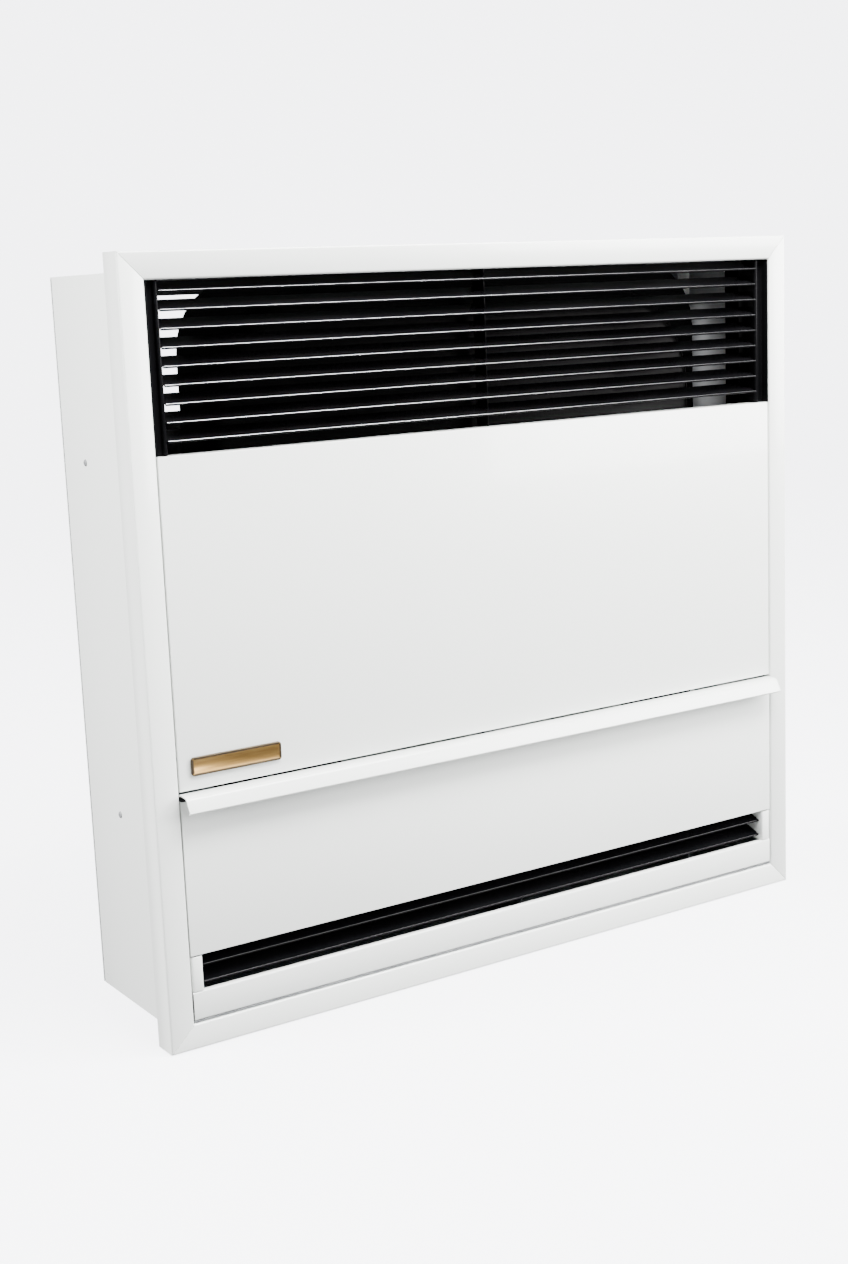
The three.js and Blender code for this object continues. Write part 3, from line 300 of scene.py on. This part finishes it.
def rolled_blade(node, highlight_paint):
    """A blade where the node is: a bead along the front, a sheet that rises to the back at its
    slope, and a tab at each end for the slots in the channels. A band along the top of the bead's
    front takes the painted highlight material given."""
    low, high = (Vector(corner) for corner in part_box(node))
    centre = Vector((0, low.y + bead_radius, low.z + bead_radius))
    slope = math.atan2(blade_rise, blade_depth)
    along = Vector((0, math.cos(slope), math.sin(slope)))
    up = Vector((0, -math.sin(slope), math.cos(slope)))
    meet = math.asin(blade_sheet / 2 / bead_radius)
    reach = blade_depth / math.cos(slope)
    bm = bmesh.new()
    start = bm.verts.new(centre + (along * math.cos(meet) + up * math.sin(meet)) * bead_radius)
    bmesh.ops.spin(bm, geom=[start], cent=centre, axis=(1, 0, 0), dvec=(0, 0, 0),
                   angle=2 * math.pi - 2 * meet, steps=22, use_merge=False, use_duplicate=False)
    ends = [vert for vert in bm.verts if len(vert.link_edges) == 1]
    ends.sort(key=lambda vert: (vert.co - centre).dot(up))
    backs = [bm.verts.new(centre + along * reach + up * rise)
             for rise in (-blade_sheet / 2, blade_sheet / 2)]
    for end, back in zip(ends, backs):
        bm.edges.new((end, back))
    bm.edges.new(backs)
    section = bmesh.ops.contextual_create(bm, geom=list(bm.edges))["faces"][0]
    left, right = low.x + tab_length, high.x - tab_length
    bmesh.ops.translate(bm, verts=bm.verts, vec=(left, 0, 0))
    grown = bmesh.ops.extrude_face_region(bm, geom=[section], use_keep_orig=True)
    bmesh.ops.translate(bm, verts=new_points(grown), vec=(right - left, 0, 0))
    for x in (left - tab_length / 2, right + tab_length / 2):
        tab = bmesh.ops.create_cube(bm, size=1.0)
        bmesh.ops.scale(bm, verts=tab["verts"], vec=(tab_length, tab_depth, blade_sheet))
        bmesh.ops.rotate(bm, verts=tab["verts"], cent=(0, 0, 0), matrix=Matrix.Rotation(slope, 3, "X"))
        bmesh.ops.translate(bm, verts=tab["verts"],
                            vec=Vector((x, 0, 0)) + centre + along * (blade_depth / 2))
    bmesh.ops.recalc_face_normals(bm, faces=bm.faces)
    piece = as_object(node + "_finished", bm)
    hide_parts(node)
    keep_shape(piece, "cabinet", black_enamel)
    # The band of faces on the bead that face up and forward gets the painted highlight.
    piece.data.materials.append(highlight_paint)
    for face in piece.data.polygons:
        lift = math.degrees(math.atan2(face.normal.z, -face.normal.y))
        on_bead = face.center.y < low.y + 2 * bead_radius and abs(face.normal.x) < 0.5
        if on_bead and bright_from < lift < bright_to:
            face.material_index = 1


for count in range(1, 10):
    rolled_blade(f"louvre_blade_{count}", bright_bead_highlight)


# ---- the front panel and its plate ----
# A flat pan of coated steel covers the middle of the front. A small blank plate of satin gold
# metal, with a narrow darkened rim round its face, is glued near the panel's lower left corner.
eased("front_panel", "cabinet", powder_coat, ease=0.0009, steps=4)

gold = finish("satin_gold_plate", (0.27, 0.165, 0.055), (0.21, 0.125, 0.04), 0.40, metallic=1.0,
              mottle=30, grain=900, depth=0.00002, stretch=(1, 1, 14))
plate = eased("badge_plate", "cabinet", gold, ease=0.0005)
dark_edge = finish("darkened_plate_edge", (0.045, 0.032, 0.018), (0.065, 0.045, 0.024), 0.4,
                   metallic=0.7, mottle=60, grain=900, depth=0.00002)
plate.data.materials.append(dark_edge)
plate_rim = 0.0017
step_width = 0.0003
step_depth = 0.0004
dark_width = 0.0016
bm = bmesh.new()
bm.from_mesh(plate.data)
front = max((face for face in bm.faces if face.normal.y < -0.9), key=lambda face: face.calc_area())
bmesh.ops.inset_region(bm, faces=[front], thickness=plate_rim, depth=0.0, use_even_offset=True)
bmesh.ops.inset_region(bm, faces=[front], thickness=step_width, depth=-step_depth, use_even_offset=True)
edge_low, edge_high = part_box("badge_plate")
for face in bm.faces:
    middle = face.calc_center_median()
    from_edge = min(middle.x - edge_low[0], edge_high[0] - middle.x,
                    middle.z - edge_low[2], edge_high[2] - middle.z)
    if from_edge < dark_width:
        face.material_index = 1
bm.to_mesh(plate.data)
bm.free()
plate.data.set_sharp_from_angle(angle=math.radians(34))


# ---- the access door ----
# The coated door hangs on two steel pins near its bottom edge, and a cased magnet keeps it shut.
# A lip of 1.2 mm sheet, rolled over and sprayed with the door, runs along its top for the fingers
# to pull.
eased("access_door", "door", powder_coat, ease=0.0007, steps=3)

lip_low, lip_high = (Vector(corner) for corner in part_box("pull_lip"))
shelf_y, shelf_fall = -0.1609, 0.0007
nose_y, nose_fall = -0.16785, 0.0136
hem_y, hem_fall = -0.16535, 0.0152
lip_profile = [(lip_high.y, lip_low.z), (lip_high.y, lip_high.z), (shelf_y, lip_high.z - shelf_fall),
               (nose_y, lip_high.z - nose_fall), (hem_y, lip_high.z - hem_fall)]
back_fold, front_fold, nose_fold = (1, 0.0012, 4), (2, 0.0030, 10), (3, 0.0007, 4)
on_corner = 0.0001
end_length = 0.008
end_height = 0.0022
bm = bmesh.new()
line = [bm.verts.new((lip_low.x, y, z)) for y, z in lip_profile]
for start, end in zip(line, line[1:]):
    bm.edges.new((start, end))
drawn = bmesh.ops.extrude_edge_only(bm, edges=list(bm.edges))
bmesh.ops.translate(bm, verts=new_points(drawn), vec=(lip_high.x - lip_low.x, 0, 0))
for corner, radius, steps in (back_fold, front_fold, nose_fold):
    y, z = lip_profile[corner]
    folds = [edge for edge in bm.edges if len(edge.link_faces) == 2
             and all((vert.co.yz - Vector((y, z))).length < on_corner for vert in edge.verts)]
    bmesh.ops.bevel(bm, geom=folds, offset=radius, offset_type="OFFSET", segments=steps, profile=0.5,
                    affect="EDGES", clamp_overlap=True, material=-1)
for x in (lip_low.x + end_length, lip_high.x - end_length):
    bmesh.ops.bisect_plane(bm, geom=[*bm.verts, *bm.edges, *bm.faces], plane_co=(x, 0, 0),
                           plane_no=(1, 0, 0), dist=same_point)
leg = [face for face in bm.faces if abs(face.calc_center_median().y - lip_high.y) < on_corner]
leg_parts = {item for face in leg for item in (face, *face.edges, *face.verts)}
bmesh.ops.bisect_plane(bm, geom=list(leg_parts), plane_co=(0, 0, lip_high.z - end_height),
                       plane_no=(0, 0, 1), dist=same_point)
ends = [face for face in bm.faces
        if face.calc_center_median().z < lip_high.z - end_height
        and abs(face.calc_center_median().y - lip_high.y) < on_corner
        and abs(face.calc_center_median().x) > lip_high.x - end_length]
bmesh.ops.delete(bm, geom=ends, context="FACES")
ledge = max(bm.faces, key=lambda face: face.calc_center_median().z)
if ledge.normal.z < 0:
    bmesh.ops.reverse_faces(bm, faces=bm.faces)
lip = as_object("pull_lip_finished", bm)
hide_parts("pull_lip")
wall = lip.modifiers.new("steel_gauge", "SOLIDIFY")
wall.thickness = 0.0012
wall.offset = -1
rounding = lip.modifiers.new("eased_edges", "BEVEL")
rounding.width = 0.0003
rounding.segments = 2
rounding.limit_method = "ANGLE"
rounding.angle_limit = math.radians(50)
keep_shape(lip, "door", powder_coat, smooth=40)
plain_steel = finish("oiled_steel", (0.42, 0.42, 0.42), (0.36, 0.36, 0.37), 0.36, metallic=1.0,
                     mottle=18, grain=900, depth=0.00002)
for side in ("left", "right"):
    eased("door_pin_" + side, "cabinet", plain_steel, ease=0.0003)
ferrite = finish("cased_magnet", (0.022, 0.022, 0.025), (0.03, 0.03, 0.032), 0.55, mottle=60,
                 grain=1800, depth=0.00005)
eased("door_magnet", "cabinet", ferrite, ease=0.0008, steps=3)


# ---- the cool air grille ----
# Below the door two coated stiles hold two black blades, over a coated rail with a folded ledge.
# The blades are rolled like those above; their bead bands carry a dim painted highlight.
# A dim painted highlight for the beads of the two blades that lie in the door's shade.
dim_bead_highlight = finish("dim_painted_highlight_on_bead", (0.010, 0.010, 0.011), (0.016, 0.016, 0.017), 0.35,
                     mottle=14, grain=420, depth=0.00002, swing=0.05, gloss=0.15)
for side in ("left", "right"):
    eased("inlet_stile_" + side, "cabinet", powder_coat, ease=0.0003)
for count in (1, 2):
    rolled_blade(f"inlet_blade_{count}", dim_bead_highlight)
eased("bottom_rail", "cabinet", powder_coat, ease=0.0003)


# ---- the drum and its liners ----
# Two pressed pans meet at a flat welded rim and hold the flame. They and the thin liners at their
# sides carry a duller black enamel that stands the heat. A row of spot welds runs down the inner
# face of each liner, and the dots carry a lighter grey as a painted highlight.
heat_enamel = finish("heat_proof_black_enamel", (0.002, 0.002, 0.0022), (0.0045, 0.0045, 0.0046), 0.24,
                     mottle=7, grain=380, depth=0.0001, swing=0.08, gloss=0.012)
for half in ("front", "rear"):
    eased("drum_" + half, "cabinet", heat_enamel, ease=0.0003, smooth=40)
for side in ("left", "right"):
    eased("side_liner_" + side, "cabinet", heat_enamel, ease=0.0002)

# Painted highlight: the spot weld dots are a lighter grey than the black enamel round them.
weld_painted_highlight = finish("painted_highlight_on_spot_welds", (0.20, 0.20, 0.21), (0.26, 0.26, 0.27), 0.2, metallic=0.6,
                    mottle=40, grain=700, depth=0.00002, gloss=0.6)
weld_count = 14
weld_radius = 0.0013
weld_flatness = 0.35
weld_y = -0.110
weld_top = 0.3115
weld_pitch = 0.0079
liner_sheet = 0.0008
for word, way in both_sides:
    liner_low, liner_high = (Vector(corner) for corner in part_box("side_liner_" + word))
    wall_x = (liner_low.x if way < 0 else liner_high.x) - way * liner_sheet
    bm = bmesh.new()
    for step in range(weld_count):
        dot = bmesh.ops.create_uvsphere(bm, u_segments=12, v_segments=8, radius=weld_radius)
        bmesh.ops.scale(bm, verts=dot["verts"], vec=(weld_flatness, 1, 1))
        bmesh.ops.translate(bm, verts=dot["verts"], vec=(wall_x, weld_y, weld_top - weld_pitch * step))
    dots = as_object("liner_spot_welds_" + word, bm)
    keep_shape(dots, "cabinet", weld_painted_highlight)


# ---- the back and the vent ----
# The back panel, the base, the vent's duct and collar and the shelf of the controls are bare
# galvanised sheet, with its faint spangle. The back's outer edges are sprayed with the case.
zinc_sheet = finish("galvanised_sheet", (0.31, 0.32, 0.33), (0.23, 0.24, 0.25), 0.42, metallic=0.9,
                    mottle=55, grain=600, depth=0.00003, swing=0.1)
back = eased("back_panel", "cabinet", zinc_sheet, ease=0.0002)
back.data.materials.append(powder_coat)
sprayed_edge = 0.0005
for face in back.data.polygons:
    if abs(face.center.x) > half_width - sprayed_edge:
        face.material_index = 1
for node in ("base_panel", "air_duct", "flue_collar", "control_bridge"):
    eased(node, "cabinet", zinc_sheet, ease=0.0002)


# ---- the burner, the pilot and their plate ----
# A slotted tube burner lies in the drum behind a bolted steel plate, which also carries the sight
# glass, the pilot with its thermocouple, and the spark electrode.
for node in ("burner_plate", "burner_tube", "manifold_pipe", "pilot_tube", "gas_inlet_pipe"):
    eased(node, "cabinet", plain_steel, ease=0.0002)
plate_low, plate_high = (Vector(corner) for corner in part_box("burner_plate"))
screw_inset = 0.0042
row_screws = 4
row_length = plate_high.x - plate_low.x - 2 * screw_inset
for row, z in enumerate((plate_low.z + screw_inset, plate_high.z - screw_inset), 1):
    for step in range(row_screws):
        x = plate_low.x + screw_inset + row_length * step / (row_screws - 1)
        screw = pan_head(f"burner_plate_screw_{row}_{step + 1}", (x, plate_low.y, z), (0, -1, 0), 0.0030)
        keep_shape(screw, "cabinet", plain_steel)
fibre = finish("pressed_ceramic_fibre", (0.66, 0.62, 0.54), (0.58, 0.54, 0.46), 0.95, mottle=90,
               grain=1400, depth=0.0003, swing=0.03)
eased("burner_gasket", "cabinet", fibre, ease=0.0002)
yellow_brass = finish("machined_brass", (0.62, 0.43, 0.17), (0.55, 0.37, 0.14), 0.26, metallic=1.0,
                      mottle=30, grain=1100, depth=0.00002)
for node in ("orifice_elbow", "thermocouple", "shutoff_cock"):
    eased(node, "cabinet", yellow_brass, ease=0.0003)
die_cast = finish("die_cast_alloy", (0.46, 0.47, 0.48), (0.40, 0.41, 0.42), 0.48, metallic=0.85,
                  mottle=40, grain=900, depth=0.00006)
eased("pilot_burner", "cabinet", die_cast)
glazed = finish("glazed_ceramic", (0.82, 0.80, 0.74), (0.78, 0.75, 0.69), 0.2, mottle=60, grain=900,
                depth=0.00002, coat=0.4)
eased("spark_electrode", "cabinet", glazed)
window = finish("heat_proof_glass", (0.70, 0.76, 0.76), (0.66, 0.72, 0.72), 0.07, mottle=30,
                grain=300, depth=0.00001, swing=0.03)
window.node_tree.nodes["Principled BSDF"].inputs["Transmission Weight"].default_value = 0.85
eased("sight_glass", "cabinet", window)


# ---- the gas controls ----
# The valve stands on its shelf with a pressed-in knob, a small temperature dial, a piezo button
# and a lever cock, which are all reached through the access door.
eased("gas_valve", "cabinet", die_cast, ease=0.0015, steps=3)
eased("valve_stem", "knob_stem", yellow_brass, ease=0.0003)
black_moulding = finish("black_moulding", (0.018, 0.018, 0.02), (0.024, 0.024, 0.026), 0.45,
                        mottle=60, grain=2400, depth=0.00006)
eased("valve_knob", "knob", black_moulding, ease=0.0008, steps=3)
eased("temperature_dial", "dial", black_moulding, ease=0.0006, steps=3)
eased("igniter_body", "cabinet", black_moulding, ease=0.0006)
red_moulding = finish("red_moulding", (0.42, 0.015, 0.012), (0.36, 0.012, 0.010), 0.25, mottle=50,
                      grain=1500, depth=0.00003, coat=0.3)
eased("igniter_button", "igniter", red_moulding, ease=0.0008, steps=3)
eased("shutoff_lever", "lever", red_moulding, ease=0.0006)


# ---- the floor ----
# A round sheet of plain pale paper, which curves up into a wall all round. It glows a little, so
# that it looks the same from every side, and the heater neither mirrors it nor is lit by it.
floor_low = cad_box[0][2] - 0.0005
flat_radius = 4.6
curve_radius = 2
wall_height = 7
bm = bmesh.new()
middle = bm.verts.new((0, 0, floor_low))
foot = bm.verts.new((flat_radius, 0, floor_low))
bm.edges.new((middle, foot))
bmesh.ops.spin(bm, geom=[foot], cent=(flat_radius, 0, floor_low + curve_radius), axis=(0, -1, 0),
               dvec=(0, 0, 0), angle=math.pi / 2, steps=12, use_merge=False, use_duplicate=False)
bend_top = max(bm.verts, key=lambda vert: vert.co.z)
bm.edges.new((bend_top, bm.verts.new((bend_top.co.x, 0, floor_low + wall_height))))
bmesh.ops.spin(bm, geom=[*bm.verts, *bm.edges], cent=(0, 0, 0), axis=(0, 0, 1), dvec=(0, 0, 0),
               angle=2 * math.pi, steps=72, use_merge=True, use_duplicate=False)
bmesh.ops.remove_doubles(bm, verts=bm.verts, dist=0.0001)
floor = as_object("studio_floor", bm)
paper = finish("pale_paper", (0.35, 0.352, 0.356), (0.34, 0.342, 0.346), 0.8, mottle=2, grain=200,
               depth=0.00005, swing=0.03)
glow = paper.node_tree.nodes["Principled BSDF"]
glow.inputs["Emission Color"].default_value = (0.95, 0.955, 1, 1)
glow.inputs["Emission Strength"].default_value = 5.2
floor.data.materials.append(paper)
for face in floor.data.polygons:
    face.use_smooth = True
floor.visible_diffuse = False
floor.visible_glossy = False
floor.visible_shadow = False
